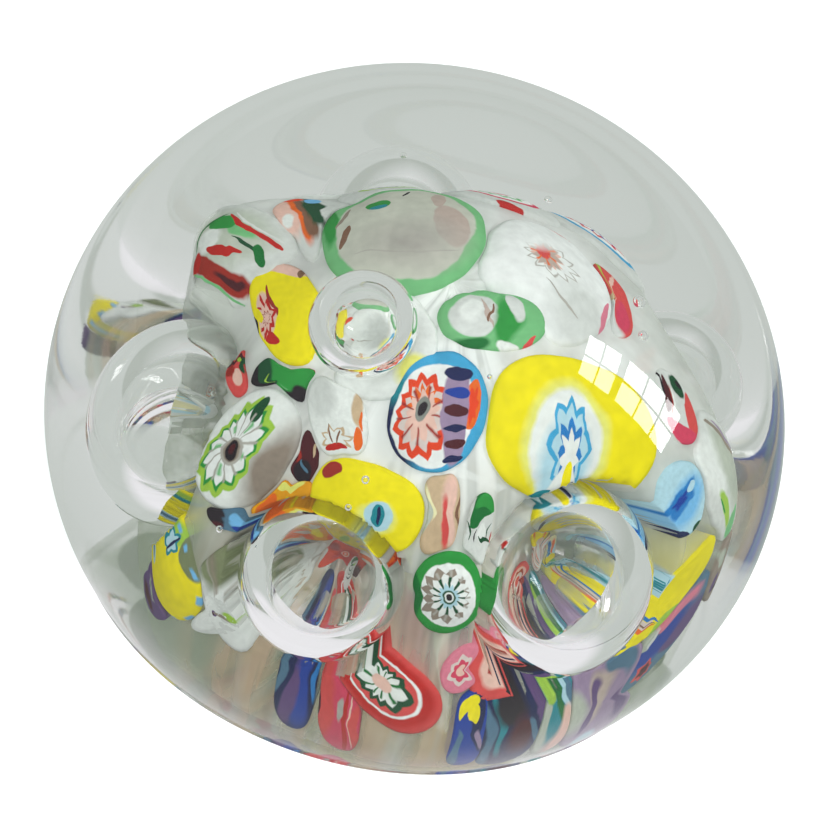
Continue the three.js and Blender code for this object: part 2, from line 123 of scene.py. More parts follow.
# Each cane's pattern. Its rim colour comes first, and each layer after it covers a part of the layers
# before. A layer is a colour and up to three numbers: its radius as a share of the rim, the points of
# the zigzag that its edge follows, and how deep they are cut. Letters give the layer's own middle (x to
# the right, y up), half axes (a, b), turn (t) and softness (s), or keep only what is past a radius (i)
# or in so many (n) thin radial bars of a width (w).
CANE_LOOKS = {
    "green_ring": "fresh; green x-.9 y.3 a.1 b.5 s.3; bone .83; blush x.55 y-.02 a.2 b.42 s.1 t14; "
    "taupe x-.72 y.3 a.03 b.24 t-30; brown x-.7 y-.12 a.05 b.2 t-12; dark x.02 y.66 a.02 b.09 t-20; "
    "ash x.05 y-.46 a.6 b.012; blush x.36 y.52 a.09 b.2; ash x.1 y-.3 a.5 b.3 s1.4; "
    "green x-.28 y.42 a.14 b.12; teal x-.28 y.35 a.1 b.05 s.1",
    "teal_red_star": "cyan; teal x-.9 y.3 a.4 b.5 s.5; navy x-.86 y-.5 a.5 b.7 s.5; "
    "white x-.1 y-.06 a.8 b.86; scarlet .9 13 .18 x-.3 y-.06 a.62 b.84; "
    "pearl .72 13 .22 x-.3 y-.06 a.62 b.84; orange .66 13 .4 x-.3 y.1 a.5 b.6; "
    "petal .54 9 .3 x-.3 y-.06 a.62 b.84; brick .5 n9 i.2 x-.3 y-.06 w.08; orange x.62 y.1 a.2 b.44; "
    "scarlet .8 7 .4 x.62 y.1 a.2 b.44; mauve x.3 y-.1 a.26 b.84 s.1; navy x.32 y.62 a.22 b.1 s.1; "
    "cobalt x.32 y.32 a.22 b.09 s.1; maroon x.32 y.02 a.24 b.11 s.1; navy x.32 y-.3 a.24 b.06 s.1; "
    "maroon x.32 y-.56 a.22 b.08 s.1; navy x.3 y-.8 a.2 b.06 s.1; cyan x.3 y.86 a.3 b.14 s.1; "
    "grey .22 x-.3 y.04 a.6 b1; dark .13 x-.3 y.04 a.6 b1",
    "big_yellow_blue_star": "yellow; lemon x-.08 y-.2 a.52 b.84 s.16; "
    "porcelain x-.08 y-.26 a.44 b.8 s.1; powder x-.08 y-.5 a.36 b.66 s.3; "
    "cyan 1 9 .26 x-.06 y-.24 a.3 b.7; powder .84 9 .3 x-.06 y-.24 a.3 b.7; "
    "blue .66 9 .34 x-.06 y-.3 a.3 b.7; porcelain .56 9 .34 x-.06 y-.36 a.3 b.7; "
    "porcelain x-.06 y-.8 a.24 b.4 s.1; yellow x-.04 y-.6 a.09 b.26 s.06; teal x-.4 y-.9 a.2 b.06 t40; "
    "navy x.16 y-.8 a.08 b.2 t20 s.06",
    # white_green_star: its soft taupe layer at the lower right is painted shade, the shaded side of the
    # slice.
    "white_green_star": "porcelain; taupe x.5 y-.5 a.9 b.42 t52 s.8; "
    "lime .86 13 .12 x-.2 y.06 a1 b.64 t52; green .76 13 .2 x-.2 y.06 a1 b.64 t52; "
    "white .68 13 .22 x-.2 y.06 a1 b.64 t52; forest x.24 y.56 a.1 b.2 t-30 s.1; "
    "ash .62 n13 i.2 x-.2 y.06 a1 b.64 t52 w.1; fresh .5 n5 i.3 x-.2 y.06 a1 b.64 t52 w.08; "
    "ash .26 x-.18 a.9 b.8; taupe .2 x-.18 a.9 b.8; dark .15 x-.18 a.9; maroon .07 x-.18",
    "green_ring_star": "green; emerald x-.9 a.2 b.8 s.3; white .76; taupe .68 12 .24 x-.1; "
    "white .54 12 .26; ash .6 n12 i.3 w.1; forest .44 n12 i.2 w.16; powder .3 12 .3; forest .17; "
    "white .12; dark .08",
    "yellow_red_star": "yellow; petal x-.5 y-.1 a.36 b.6 s.1; brick x-.22 y.2 a.05 b.36 t14; "
    "red 1 9 .3 x-.5 y-.12 a.34 b.62; petal .8 9 .34 x-.54 y-.08 a.34 b.62; "
    "brick .5 9 .4 x-.54 y-.1 a.34 b.6; petal .42 9 .4 x-.54 y-.1 a.34 b.6; yellow x-.76 y.1 a.1 b.26; "
    "red x-.34 y-.66 a.24 b.1 t10; dark x-.98 y-.3 a.08 b.6 s.06; petal x.3 y.9 a.6 b.18 s.1; "
    "brown x.4 y.8 a.1 b.1 s.1",
    "green_clear": "fresh; milk x-.36 y.04 a.44 b.62 s.1; porcelain x-.46 y.1 a.2 b.3 s.4; "
    "blush x-.2 y.1 a.04 b.5 t20; green x.24 y-.1 a.26 b.7 s.5; milk x.4 y.4 a.14 b.4 s.2; "
    "brown x-.1 y.1 a.03 b.3 t-12; emerald x-.5 y-.8 a.4 b.2 s.4; coral x.86 y-.6 a.08 b.4; "
    "porcelain x.5 y-.8 a.4 b.2 s.2",
    "white_pink_star": "white; milk x.5 y-.5 a.5 b.5 s.6; ash .44 12 .3 x-.1 y.14 a1 b.7; "
    "white .4 12 .3 x-.1 y.14 a1 b.7; petal .36 11 .4 x-.16 y.16 a.8 b.6; blush .26 9 .4 x-.16 y.16; "
    "coral .12 x-.2 y.18; orange .22 n7 i.08 x-.2 y.18 w.1; ash x.1 y-.4 a.3 b.02 t-30; "
    "pink x.9 y-.3 a.06 b.5; coral x.1 y.97 a.4 b.07; white x-.5 y.5 a.5 b.3 s.5",
    "yellow_teal_spot": "yellow; lemon x.2 y-.2 a.34 b.3 s.3; brick x-.62 y.6 a.2 b.12 t40 s.1; "
    "powder x.24 y-.16 a.24 b.26 s.12; teal x.24 y-.14 a.11 b.18 s.06; navy x.26 y-.14 a.03 b.14; "
    "lime x-.4 y-.6 a.3 b.2 s.4",
    "white_orange_star": "porcelain; milk x-.4 y.5 a.4 b.4 s.6; tan 1 7 .4 x-.06 y-.5 a.5 b.34; "
    "porcelain .8 7 .4 x-.06 y-.5 a.5 b.34; orange x.54 y-.5 a.14 b.26 t-20; red x-.04 y-.76 a.3 b.1; "
    "brown x-.2 y-.4 a.03 b.26 t24; brown x.06 y-.5 a.03 b.22 t-10; tan x.7 y.3 a.2 b.6 s.3; "
    "orange x.8 y-.1 a.06 b.3 t-14",
    "pink_white": "milk; petal x-.6 a.5 b.9 s.3; orange x-.24 y.1 a.14 b.8 s.3 t16; "
    "brown x-.06 a.14 b.9 s.3 t16; forest x.2 a.24 b1 s.3 t16; scarlet x-.4 y.8 a.3 b.14 s.2; "
    "sky x.1 y.7 a.2 b.2 s.2; porcelain x-.6 y-.3 a.16 b.3 s.4",
    "green_fold": "clear; brick x-.26 y-.7 a.12 b.4 t10 s.1; forest x-.14 y-.8 a.05 b.3 s.1",
    "red_lobe": "milk; clear x-.86 y-.5 a.4 b.5 s.2; clear x-.5 y.84 a.5 b.3 s.2; "
    "sage x.1 y.1 a.7 b.6 s.5; porcelain x-.3 y.2 a.3 b.2 s.3; fresh x.3 y.1 a.16 b.3 t30 s.3; "
    "green x.1 y.36 a.26 b.16 t-20 s.06; brick x-.46 y-.36 a.86 b.17 t-58 s.2; "
    "maroon x-.26 y-.66 a.34 b.06 t-58 s.4; red x-.78 y.12 a.18 b.22 s.2; "
    "red x-.16 y-.14 a.36 b.09 t-42; forest x.26 y-.3 a.03 b.34 t24; emerald x.34 y-.5 a.08 b.24 s.1; "
    "red x.44 y.02 a.56 b.06 t-67; milk x.54 y.06 a.56 b.03 t-67; emerald x-.3 y.46 a.5 b.025 t12; "
    "fresh x-.6 y-.5 a.6 b.03 t-58 s.2",
    "blue_star": "powder; sky x.1 y-.1 a.8 b.5 t27 s.5; blue 1 5 .3 x-.1 a.8 b.3 t27 s.2; "
    "cobalt .5 5 .4 x-.1 a.8 b.3 t27 s.2; powder x.36 y.24 a.2 b.08 t27 s.1; "
    "navy x-.3 y-.9 a.4 b.16 t-30 s.1; forest x.4 y-.9 a.3 b.1 s.1",
    "yellow_blue_star": "yellow; lime x.3 y.74 a.4 b.2 s.4; olive x.84 y.6 a.36 b.5 s.1; "
    "teal 1 5 .4 x.2 y.5 a.26 b.3 t-30; powder .7 5 .4 x.2 y.5 a.26 b.3 t-30; "
    "navy x.24 y.5 a.03 b.24 t-30; powder x-.4 y-.2 a.16 b.4 t24 s.06; steel x-.4 y-.2 a.07 b.3 t24; "
    "forest x-.54 y.1 a.03 b.3 t24; sky 1 n13 i.9 x0 y-.1 w.2",
    "red_funnel": "scarlet; red x.3 y-.2 a.6 b.6 s.5; maroon x.8 y-.7 a.3 b.5 s.4; "
    "brick x-.5 y.4 a.4 b.3 s.5; petal x.2 y.05 a.2 b.16; scarlet x.2 y.05 a.13 b.1; "
    "petal x.2 y.05 a.06 b.05; milk x-.95 y-.3 a.14 b.5 s.2; orange x.8 y.5 a.12 b.3 s.1",
    "clear_green_star": "milk; porcelain x-.5 a.14 b.9 s.2; emerald x.1 y.66 a.5 b.14 t40; "
    "forest x-.1 y.4 a.4 b.08 t34; green x.1 y.16 a.4 b.07 t24; forest x-.1 y-.02 a.3 b.07 t30; "
    "lime x.3 y.3 a.1 b.2; forest y-.3 a.3 b.03; forest x.1 y-.46 a.3 b.02; dark y-.6 a.24 b.03",
    "slant_ring": "coral; red .9 s.2; white .68; coral .62; forest .56 11 .2; porcelain .44 11 .3; "
    "emerald .36 n9 i.1; petal .16",
    "yellow_zigzag": "yellow; sage y.8 a1 b.5 s.1; powder y.46 a.98 b.3; teal 1 19 .2 y.46 a.96 b.24; "
    "powder .7 19 .24 y.5 a.94 b.24; lemon x-.7 y.1 a.3 b.3 s.4; yellow y-.14 a1 b.3 s.08; "
    "fresh x-.6 y.9 a.3 b.2 s.3; lime y-.8 a1 b.14 s.3; pearl x-.42 y-.05 a.12 b.34 t20 s.1; "
    "orange x-.5 y-.1 a.03 b.5 t20 s.06; brown x-.38 y-.1 a.02 b.5 t10 s.06; "
    "blue x-.22 y-.1 a.04 b.6 s.06",
    "cloud_white": "milk; porcelain x-.4 a.5 b.7 s.3; violet x-.2 y.1 a.18 b.14 s.2; "
    "maroon x-.3 y.1 a.08 b.1 s.1; taupe x.2 y.14 a.4 b.08 s.2; lime x.5 y.3 a.3 b.16 s.4",
    "violet_side": "violet; maroon y-.4 a.6 b.3 s.4; sage 1 7 .2 x-.2 y.4 a.6 b.3 t-24; "
    "forest .8 7 .3 x-.2 y.4 a.6 b.3 t-24; sage .6 7 .3 x-.2 y.4 a.6 b.3 t-24",
    "emerald": "green; forest x-.6 a.4 b1 s.2; dark x-.9 y.1 a.2 b.9 s.1; lime x-.5 y-.1 a.03 b.4 t-30; "
    "dark x.6 y-.6 a.3 b.3 s.3; brick x.9 y.5 a.1 b.6 t20 s.1; fresh x.2 y-.4 a.1 b.06 s.1",
    "red_leg": "coral; brick x-.4 a.5 b.4 s.2; maroon y.6 a.9 b.2 s.1; petal x.3 y-.3 a.3 b.3 s.2; "
    "forest x.8 y.1 a.2 b.6 s.2; lime x.4 y.5 a.3 b.1 s.1",
    "maroon": "maroon; dark x-.1 y-.5 a.5 b.5 s.2; brick x-.6 y.4 a.2 b.6 s.2; "
    "steel x-.1 y-.3 a.07 b.4 t40; tan x.6 y.5 a.1 b.4",
    "amber": "amber; yellow x-.1 y-.1 a.3 b.5 s.1; orange x-.7 a.2 b.6 s.2; orange x.7 y-.6 a.3 b.4 s.2; "
    "lemon y.8 a.5 b.16 s.1",
    "steel_blue": "steel; sky x.4 a.3 b.4 s.4; dark x-.7 y.1 a.5 b.9 s.3; maroon x-.7 y-.6 a.4 b.4 s.3; "
    "cobalt x.6 y-.4 a.3 b.2 s.3; orange x.9 y-.7 a.2 b.3 s.2",
    "milk_grey": "porcelain; milk x.2 a.6 b.6 s.5; ash x-.5 y-.2 a.4 b.015; lemon x.5 y-.6 a.4 b.3 s.5",
    "orange_strip": "scarlet; petal y.5 a1 b.08; orange y.2 a.9 b.2 s.2; petal y-.2 a1 b.05; "
    "red y-.6 a1 b.3 s.2",
    "tan": "tan; petal x.3 a.3 b1 s.4; coral x.1 y-.3 a.12 b.7 s.4; cream x-.5 y.3 a.14 b.6 s.4; "
    "sage x-.8 a.2 b1 s.3; brown x.8 a.1 b.8 s.3",
    "green_white_leg": "milk; emerald y.66 a.8 b.34 t30; green x.3 y.8 a.5 b.2 s.1; "
    "porcelain x.1 y-.1 a.3 b.3 s.2; forest x-.7 y.1 a.06 b.5 t14; forest x.5 y-.2 a.04 b.5 t-34; "
    "forest x.2 y-.5 a.4 b.06 t-40; red x.7 y-.6 a.3 b.1 t40 s.1; dark x-.3 y-.2 a.03 b.3",
    "red_pink": "coral; lime x-.66 a.1 b.9 s.3; tan x-.8 y-.3 a.2 b.6 s.3; petal x-.3 a.06 b.9 s.3; "
    "rose x.3 y-.3 a.3 b.5 s.4; maroon x-.5 y-.8 a.1 b.3 s.2; milk x-.2 y-.9 a.6 b.2 s.3",
    "red_ribbon": "milk; maroon x-.5 y.1 a.2 b.6 s.1; coral x.62 y-.1 a.3 b.8 s.1; "
    "rose x.2 y-.74 a.7 b.24 s.1; porcelain x-.2 y-.1 a.07 b.5; forest x.1 y.6 a.3 b.3 s.2; "
    "dark x.2 y.7 a.14 b.1; dark x-.7 y.4 a.06 b.4; brick x-.3 a.04 b.5",
    "tall_green_white": "milk; porcelain x-.2 y.5 a.5 b.5 s.4; sage x.3 y-.2 a.5 b.8 s.5; "
    "lime x-.5 y-.2 a.16 b.4 s.3; fresh x-.3 y-.7 a.3 b.16 s.2; green x-.6 y-.1 a.04 b.2 s.1; "
    "taupe x.6 y.2 a.06 b.6 t14 s.1; mauve x.74 y.1 a.04 b.5 t14 s.1; steel x.6 y-.94 a.3 b.06",
    "brown_yellow": "taupe; sage x.5 y.5 a.3 b.3 s.3; yellow x.2 y-.5 a.3 b.2 s.3; "
    "dark x-.5 y.1 a.1 b.5 s.1; violet x-.3 y.5 a.3 b.2 s.3; maroon x-.3 y-.2 a.2 b.3 s.3",
    "blue_band": "steel; sage y.8 a1 b.3 s.3; cobalt x.1 y.1 a.6 b.5 s.6; violet x.5 y-.4 a.4 b.3 s.4; "
    "coral 1 6 .3 x-.5 y-.3 a.3 b.3; maroon .7 6 .3 x-.5 y-.3 a.3 b.3; pink x.8 y.3 a.2 b.4 s.3; "
    "teal x-.8 y.4 a.3 b.3 s.4; milk x.3 y.6 a.5 b.12 s.4",
    "pink_fold": "rose; coral x-.5 a.4 b1 s.3; red x.3 a.1 b1 s.1; petal x.5 y.1 a.04 b.9; "
    "ash x.1 y.3 a.12 b.4 s.3; coral x.7 y-.2 a.2 b.9 s.2; maroon x-.94 a.1 b1 s.1",
    "dark_blue_streak": "navy; steel x-.7 a.2 b1 s.4; cobalt x.2 a.3 b1 s.5; blue x.8 y.2 a.14 b.9 s.3; "
    "violet x-.1 y-.4 a.16 b.6 s.4",
    "pink_flower": "pink; pearl .7 6 .3; rose .5 6 .3; petal .24",
    "blue_line": "cobalt; navy x.4 a.3 b.9 s.2; yellow x.04 y.72 a.34 b.16 s.1; "
    "yellow x.2 y.46 a.16 b.2 s.1; steel x-.5 y-.3 a.2 b.7 s.3; mauve x.5 y-.4 a.2 b.5 s.3",
    "navy": "navy; steel x-.7 a.16 b.9 s.4; teal x-.4 y.2 a.1 b.7 s.4; dark x-.1 y.4 a.4 b.4 s.6; "
    "maroon y-.3 x.1 a.3 b.4 s.6; brick x.5 y.8 a.2 b.2 s.3; violet x.8 a.2 b1 s.4; "
    "steel x.4 y-.6 a.1 b.5 s.4",
    "green_streak": "teal; sage x-.7 a.3 b1 s.4; powder x.4 a.14 b1 s.3; lime x-.2 y.6 a.3 b.5 s.4; "
    "emerald x.1 a.14 b.9 s.3; steel x.7 y-.4 a.2 b.8 s.4; petal y-.8 a.5 b.3 s.5",
    "mauve": "mauve; sage x-.7 y.5 a.4 b.5 s.6; blush x.1 y.2 a.5 b.2 t30 s.5; "
    "violet x-.2 y.1 a.5 b.1 t30 s.4; violet x.4 y-.5 a.4 b.2 t30 s.5; powder x-.6 y-.6 a.3 b.3 s.5; "
    "steel x.7 y.4 a.2 b.4 s.4",
    "red_ring": "coral; petal .7 s.1; brick .56 6 .2; pearl .36; coral .2",
    "white_fan": "milk; olive x-.6 y.3 a.5 b.7 s.3; porcelain x.1 y-.6 a.6 b.44 s.3; "
    "ash 1.9 n13 w.04 i.5 y-.9; taupe 1.8 n5 w.04 i.6 y-.9",
    "orange_fan": "porcelain; yellow x-.2 y.6 a.9 b.4 s.4; orange 1.9 n17 w.09 i.15 y-.95; "
    "brown 1.8 n9 w.07 i.2 y-.95; yellow x-.6 y.3 a.4 b.4 s.4; pearl x.14 y.3 a.2 b.24 t-30; "
    "petal .1 x.14 y.34",
    "blue_fan": "cream; sky x-.2 a.3 b.9 s.3; blue x0 y.1 a.12 b.9 t-14 s.2; orange x.4 y.2 a.2 b.5 s.2; "
    "powder x.7 a.2 b.8 s.3; yellow y-.7 a.8 b.4 s.2; navy x-.6 a.08 b.8",
    "pale_dimple": "porcelain; milk .8 s.4; cream x.3 y-.3 a.5 b.4 s.8; ash y.3 a.5 b.015 s.05; "
    "white x.2 y-.1 a.12 b.09; porcelain x.2 y-.1 a.09 b.06; white x-.2 y.14 a.12 b.02",
    "aqua_star": "milk; cyan .7; white .6; coral .52 10 .26; white .42 10 .3; cobalt .4 n10 i.2; navy .14",
    "orange_star": "milk; orange .76; white .64; green .56 11 .26; white .46 11 .3; amber .36 n11 i.2; "
    "dark .14",
    "rose_ring": "milk; rose .6; white .5; fresh .42 9 .3; white .32 9 .3; rose .14; "
    "red x.3 y-.86 a.3 b.16 s.1",
    "lime_star": "milk; lime .6; white .5; violet .42 9 .26; white .34 9 .3; dark .12",
    "cobalt_ring": "milk; cobalt .7; white .6; orange .5 9 .26; white .4 9 .3; red .2; white .1",
    "white_red_star": "porcelain; red .76 11 .22; white .64 11 .26; blue .5 n11 i.24; yellow .2; dark .1",
    "yellow_green": "yellow; lemon .8 s.2; green .6 8 .3; white .46 8 .3; forest .2",
    "crimson_streak": "milk; rose x-.3 a.2 b.8 s.3; maroon x-.4 a.06 b.8 s.3; pink x.4 a.12 b.8 s.3",
    "sky_white": "milk; powder .8; white .66; sky .5 8 .4; white .3",
    "moss": "forest; lime .6 s.3; white .3 7 .3; green .16",
}


def unit(longitude, latitude):
    """The directions of longitudes and latitudes in degrees."""
    lon = np.radians(longitude)
    lat = np.radians(latitude)
    return np.stack([np.cos(lat) * np.cos(lon), np.cos(lat) * np.sin(lon), np.sin(lat)], -1)


def coordinates(node):
    """A CAD node's vertices."""
    return np.array([v.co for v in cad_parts[node].data.vertices])


def tree_of(nodes):
    """A search tree over the faces of several CAD nodes."""
    verts = []
    faces = []
    for node in nodes:
        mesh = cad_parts[node].data
        start = len(verts)
        verts += [v.co.copy() for v in mesh.vertices]
        faces += [[start + i for i in p.vertices] for p in mesh.polygons]
    return BVHTree.FromPolygons(verts, faces)


# ------------ the shapes that the frame gives


def fitted_sphere(points, longitude, latitude, distance, radius):
    """The sphere through the casing's vertices near where a bubble is looked for."""
    centre = HEART_XYZ + unit(longitude, latitude) * distance * MM
    off = np.abs(np.linalg.norm(points - centre, axis=1) - radius * MM)
    near = points[off < FIT_BAND]
    system = np.hstack([2 * near, np.ones((len(near), 1))])
    answer = np.linalg.lstsq(system, (near**2).sum(1), rcond=None)[0]
    fitted = answer[:3]
    return fitted, math.sqrt(answer[3] + fitted @ fitted)


CASING_POINTS = coordinates(DOME_NODE)
BUBBLES = [fitted_sphere(CASING_POINTS, *spot) for spot in BUBBLE_SEARCH]
FAR = 1.0  # metres, well outside the object


def near_sides(along):
    """How far out from the heart each bubble's near side lies, or FAR where a direction misses it."""
    found = []
    for centre, radius in BUBBLES:
        offset = centre - HEART_XYZ
        middle = along @ offset
        reach = middle**2 - offset @ offset + (radius + BUBBLE_WALL) ** 2
        hit = (middle > 0) & (reach > 0)
        found.append(np.where(hit, middle - np.sqrt(np.maximum(reach, 0)), FAR))
    return found


def soft_minimum(a, b, width):
    share = np.clip(0.5 + 0.5 * (b - a) / width, 0, 1)
    return b + (a - b) * share - width * share * (1 - share)


MAP_COLUMNS = 180
MAP_ROWS = 90
SMOOTHING = 5.0  # degrees
MASK_MARGIN = 1.12  # how much wider than a bubble its masked cone is
WIDEST_CONE = 1.4  # radians
BASE_BAND = 0.98  # the share of the heart's height past which a downward ray meets the base
TINY = 1e-9
LEAST_KNOWN = 1e-3
CAP_START = 80  # degrees of latitude past which the map turns into its value at the pole
CAP_WIDTH = 10


def gather_map():
    """The core's radius over longitude and latitude, smoothed and without its dimples."""
    tree = tree_of([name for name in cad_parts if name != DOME_NODE])
    lon = (np.arange(MAP_COLUMNS) + 0.5) * 360 / MAP_COLUMNS
    lat = -90 + (np.arange(MAP_ROWS) + 0.5) * 180 / MAP_ROWS
    along = unit(*np.meshgrid(lon, lat))
    start = 2 * DOME_RADIUS
    radii = np.zeros((MAP_ROWS, MAP_COLUMNS))
    for row in range(MAP_ROWS):
        for column in range(MAP_COLUMNS):
            ray = Vector(along[row, column])
            hit = tree.ray_cast(HEART + ray * start, -ray)[0]
            radii[row, column] = (hit - HEART).length if hit else 0
    weight = (radii > 0).astype(float)
    weight[along[..., 2] * radii < -BASE_BAND * HEART.z] = 0
    for centre, radius in BUBBLES:
        offset = centre - HEART_XYZ
        distance = np.linalg.norm(offset)
        cone = math.cos(min(WIDEST_CONE, math.asin(radius / distance) * MASK_MARGIN))
        weight[along @ offset / distance > cone] = 0
    return smoothed(radii, weight, lat)


def blurred(grid):
    """A Gaussian blur over a map that closes on itself sideways, but not at the poles."""
    step = 180 / MAP_ROWS
    reach = int(4 * SMOOTHING / step)
    shifts = range(-reach, reach + 1)
    kernel = np.exp(-0.5 * (np.array(shifts) * step / SMOOTHING) ** 2)
    wide = np.zeros_like(grid)
    for k, shift in zip(kernel, shifts):
        wide += k * np.roll(grid, shift, axis=1)
    tall = np.zeros_like(wide)
    for k, shift in zip(kernel, shifts):
        rows = np.clip(np.arange(MAP_ROWS) + shift, 0, MAP_ROWS - 1)
        tall += k * wide[rows]
    return tall


def smoothed(radii, weight, lat):
    """The blurred map, with the places that have no weight filled from their neighbours."""
    total = blurred(radii * weight)
    known = blurred(weight)
    smooth = total / np.maximum(known, TINY)
    lowest = np.argmax(known > LEAST_KNOWN, axis=0)
    for column in range(MAP_COLUMNS):
        smooth[: lowest[column], column] = smooth[lowest[column], column]
    pole = smooth[-2:].mean()
    near_pole = np.clip((lat - CAP_START) / CAP_WIDTH, 0, 1)[:, None]
    return smooth * (1 - near_pole) + pole * near_pole


MAP_RADII = gather_map()


def gather_radius(along):
    """The core's radius along unit directions from the heart, with its dimples."""
    lon = np.degrees(np.arctan2(along[..., 1], along[..., 0])) % 360
    lat = np.degrees(np.arcsin(np.clip(along[..., 2], -1, 1)))
    x = lon * MAP_COLUMNS / 360 - 0.5
    y = np.clip((lat + 90) * MAP_ROWS / 180 - 0.5, 0, MAP_ROWS - 1.001)
    column = np.floor(x).astype(int)
    row = np.floor(y).astype(int)
    fx = x - column
    fy = y - row
    column %= MAP_COLUMNS
    after = (column + 1) % MAP_COLUMNS
    low = MAP_RADII[row, column] * (1 - fx) + MAP_RADII[row, after] * fx
    high = MAP_RADII[row + 1, column] * (1 - fx) + MAP_RADII[row + 1, after] * fx
    radius = low * (1 - fy) + high * fy
    for near in near_sides(along):
        dipped = soft_minimum(radius, near, DIMPLE_EDGE)
        radius = np.where(near < radius + DIMPLE_EDGE, dipped, radius)
    return radius


# ------------ meshes


def make_piece(name, verts, faces, node, materials):
    """A smooth-shaded mesh piece that rides on the body and stands for a CAD node."""
    mesh = bpy.data.meshes.new(name)
    mesh.from_pydata([tuple(v) for v in verts], [], faces)
    mesh.update()
    mesh.shade_smooth()
    piece = bpy.data.objects.new(name, mesh)
    bpy.context.scene.collection.objects.link(piece)
    for material in materials:
        mesh.materials.append(material)
    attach(piece, BODY)
    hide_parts(node)
    return piece


def grid_faces(rows, columns, start=0, flip=False):
    """Quads between rings of a closed grid."""
    faces = []
    for row in range(rows - 1):
        for column in range(columns):
            a = start + row * columns + column
            b = start + row * columns + (column + 1) % columns
            quad = [a, b, b + columns, a + columns]
            faces.append(quad[::-1] if flip else quad)
    return faces


def ring_ends(first, last, columns, low, high):
    """Triangles that close a grid at two vertices, low at its first ring and high at its last."""
    faces = []
    for column in range(columns):
        after = (column + 1) % columns
        faces.append([first + column, first + after, low])
        faces.append([last + after, last + column, high])
    return faces


DOME_COLUMNS = 192
DOME_ROWS = 72
RIM_ROWS = 8
BASE_BELOW = 0.02 * MM  # the casing's vertices up to here are the base's
SHOULDER_BELOW = 1.2 * MM  # and from there to here the chamfer's


def dome_profile():
    """Radius and height from the base's edge to the crown, as the CAD has them."""
    reach = np.hypot(CASING_POINTS[:, 0], CASING_POINTS[:, 1])
    height = CASING_POINTS[:, 2]
    base_radius = reach[height < BASE_BELOW].max()
    shoulder = reach[(height > BASE_BELOW) & (height < SHOULDER_BELOW)].max()
    chamfer = shoulder - base_radius
    fall = math.sqrt(1 - (shoulder / DOME_RADIUS) ** 2)
    drop = DOME_HEIGHT * fall / (1 + fall)
    rise = DOME_HEIGHT - drop
    start = math.asin((chamfer - drop) / rise)
    edge = DOME_RADIUS * math.cos(start)
    profile = []
    for k in range(RIM_ROWS):
        turn = math.pi / 2 * k / RIM_ROWS
        profile.append((edge - chamfer + chamfer * math.sin(turn), chamfer * (1 - math.cos(turn))))
    for k in range(DOME_ROWS):
        angle = start + (math.pi / 2 - start) * k / DOME_ROWS
        profile.append((DOME_RADIUS * math.cos(angle), drop + rise * math.sin(angle)))
    return profile


def sphere_mesh(centre, radius, grid, start):
    """A closed ball whose faces look inwards, so that it is air inside glass."""
    columns, rows = grid
    verts = []
    for row in range(1, rows):
        angle = math.pi * row / rows
        ring = radius * math.sin(angle)
        for column in range(columns):
            turn = 2 * math.pi * column / columns
            offset = (ring * math.cos(turn), ring * math.sin(turn), -radius * math.cos(angle))
            verts.append(Vector(centre) + Vector(offset))
    faces = grid_faces(rows - 1, columns, start, flip=True)
    bottom = start + len(verts)
    verts.append(Vector(centre) - Vector((0, 0, radius)))
    verts.append(Vector(centre) + Vector((0, 0, radius)))
    faces += ring_ends(start, start + (rows - 2) * columns, columns, bottom, bottom + 1)
    return verts, faces


def seed_spheres():
    """The seeds' centres and radii, above the core's surface."""
    found = []
    for longitude, latitude, height, radius in SEEDS:
        along = unit(longitude, latitude)
        out = float(gather_radius(along)) + height * MM
        found.append((HEART + Vector(along * out), radius * MM))
    return found


def dome_piece(crystal, ground):
    """The clear casing with its air bubbles and its ground base."""
    verts = []
    profile = dome_profile()
    for x, z in profile:
        for column in range(DOME_COLUMNS):
            turn = 2 * math.pi * column / DOME_COLUMNS
            verts.append((x * math.cos(turn), x * math.sin(turn), z))
    faces = grid_faces(len(profile), DOME_COLUMNS)
    crown = len(verts)
    verts.append((0, 0, DOME_HEIGHT))
    last = crown - DOME_COLUMNS
    for column in range(DOME_COLUMNS):
        faces.append([last + column, last + (column + 1) % DOME_COLUMNS, crown])
    faces.append(list(range(DOME_COLUMNS))[::-1])
    base_face = len(faces) - 1
    for spheres, grid in ((BUBBLES, BUBBLE_GRID), (seed_spheres(), SEED_GRID)):
        for centre, radius in spheres:
            more_verts, more_faces = sphere_mesh(centre, radius, grid, len(verts))
            verts += more_verts
            faces += more_faces
    piece = make_piece("casing", verts, faces, DOME_NODE, [crystal, ground])
    piece.data.polygons[base_face].material_index = 1
    piece.data.polygons[base_face].use_smooth = False


CORE_COLUMNS = 144
CORE_ROWS = 96
CORE_END = 88  # degrees of latitude at which the core's grid ends


def above_ground(points):
    """Points, with those below the base drawn up towards the heart."""
    drop = np.maximum(HEART_XYZ[2] - points[:, 2], TINY)
    share = np.minimum(1.0, (HEART_XYZ[2] - GROUND_GAP) / drop)
    return HEART_XYZ + (points - HEART_XYZ) * share[:, None]


def core_piece(material):
    """The inner gather down to the base."""
    verts = []
    lon = 360 * np.arange(CORE_COLUMNS) / CORE_COLUMNS
    for row in range(CORE_ROWS):
        latitude = CORE_END * (2 * row / (CORE_ROWS - 1) - 1)
        along = unit(lon, np.full(CORE_COLUMNS, latitude))
        ring = along * (gather_radius(along) - CORE_INSET)[:, None] + HEART_XYZ
        verts += list(above_ground(ring))
    faces = grid_faces(CORE_ROWS, CORE_COLUMNS)
    faces.append(list(range(CORE_COLUMNS))[::-1])
    faces.append(list(range(len(verts) - CORE_COLUMNS, len(verts))))
    make_piece("core", verts, faces, CORE_NODE, [material])


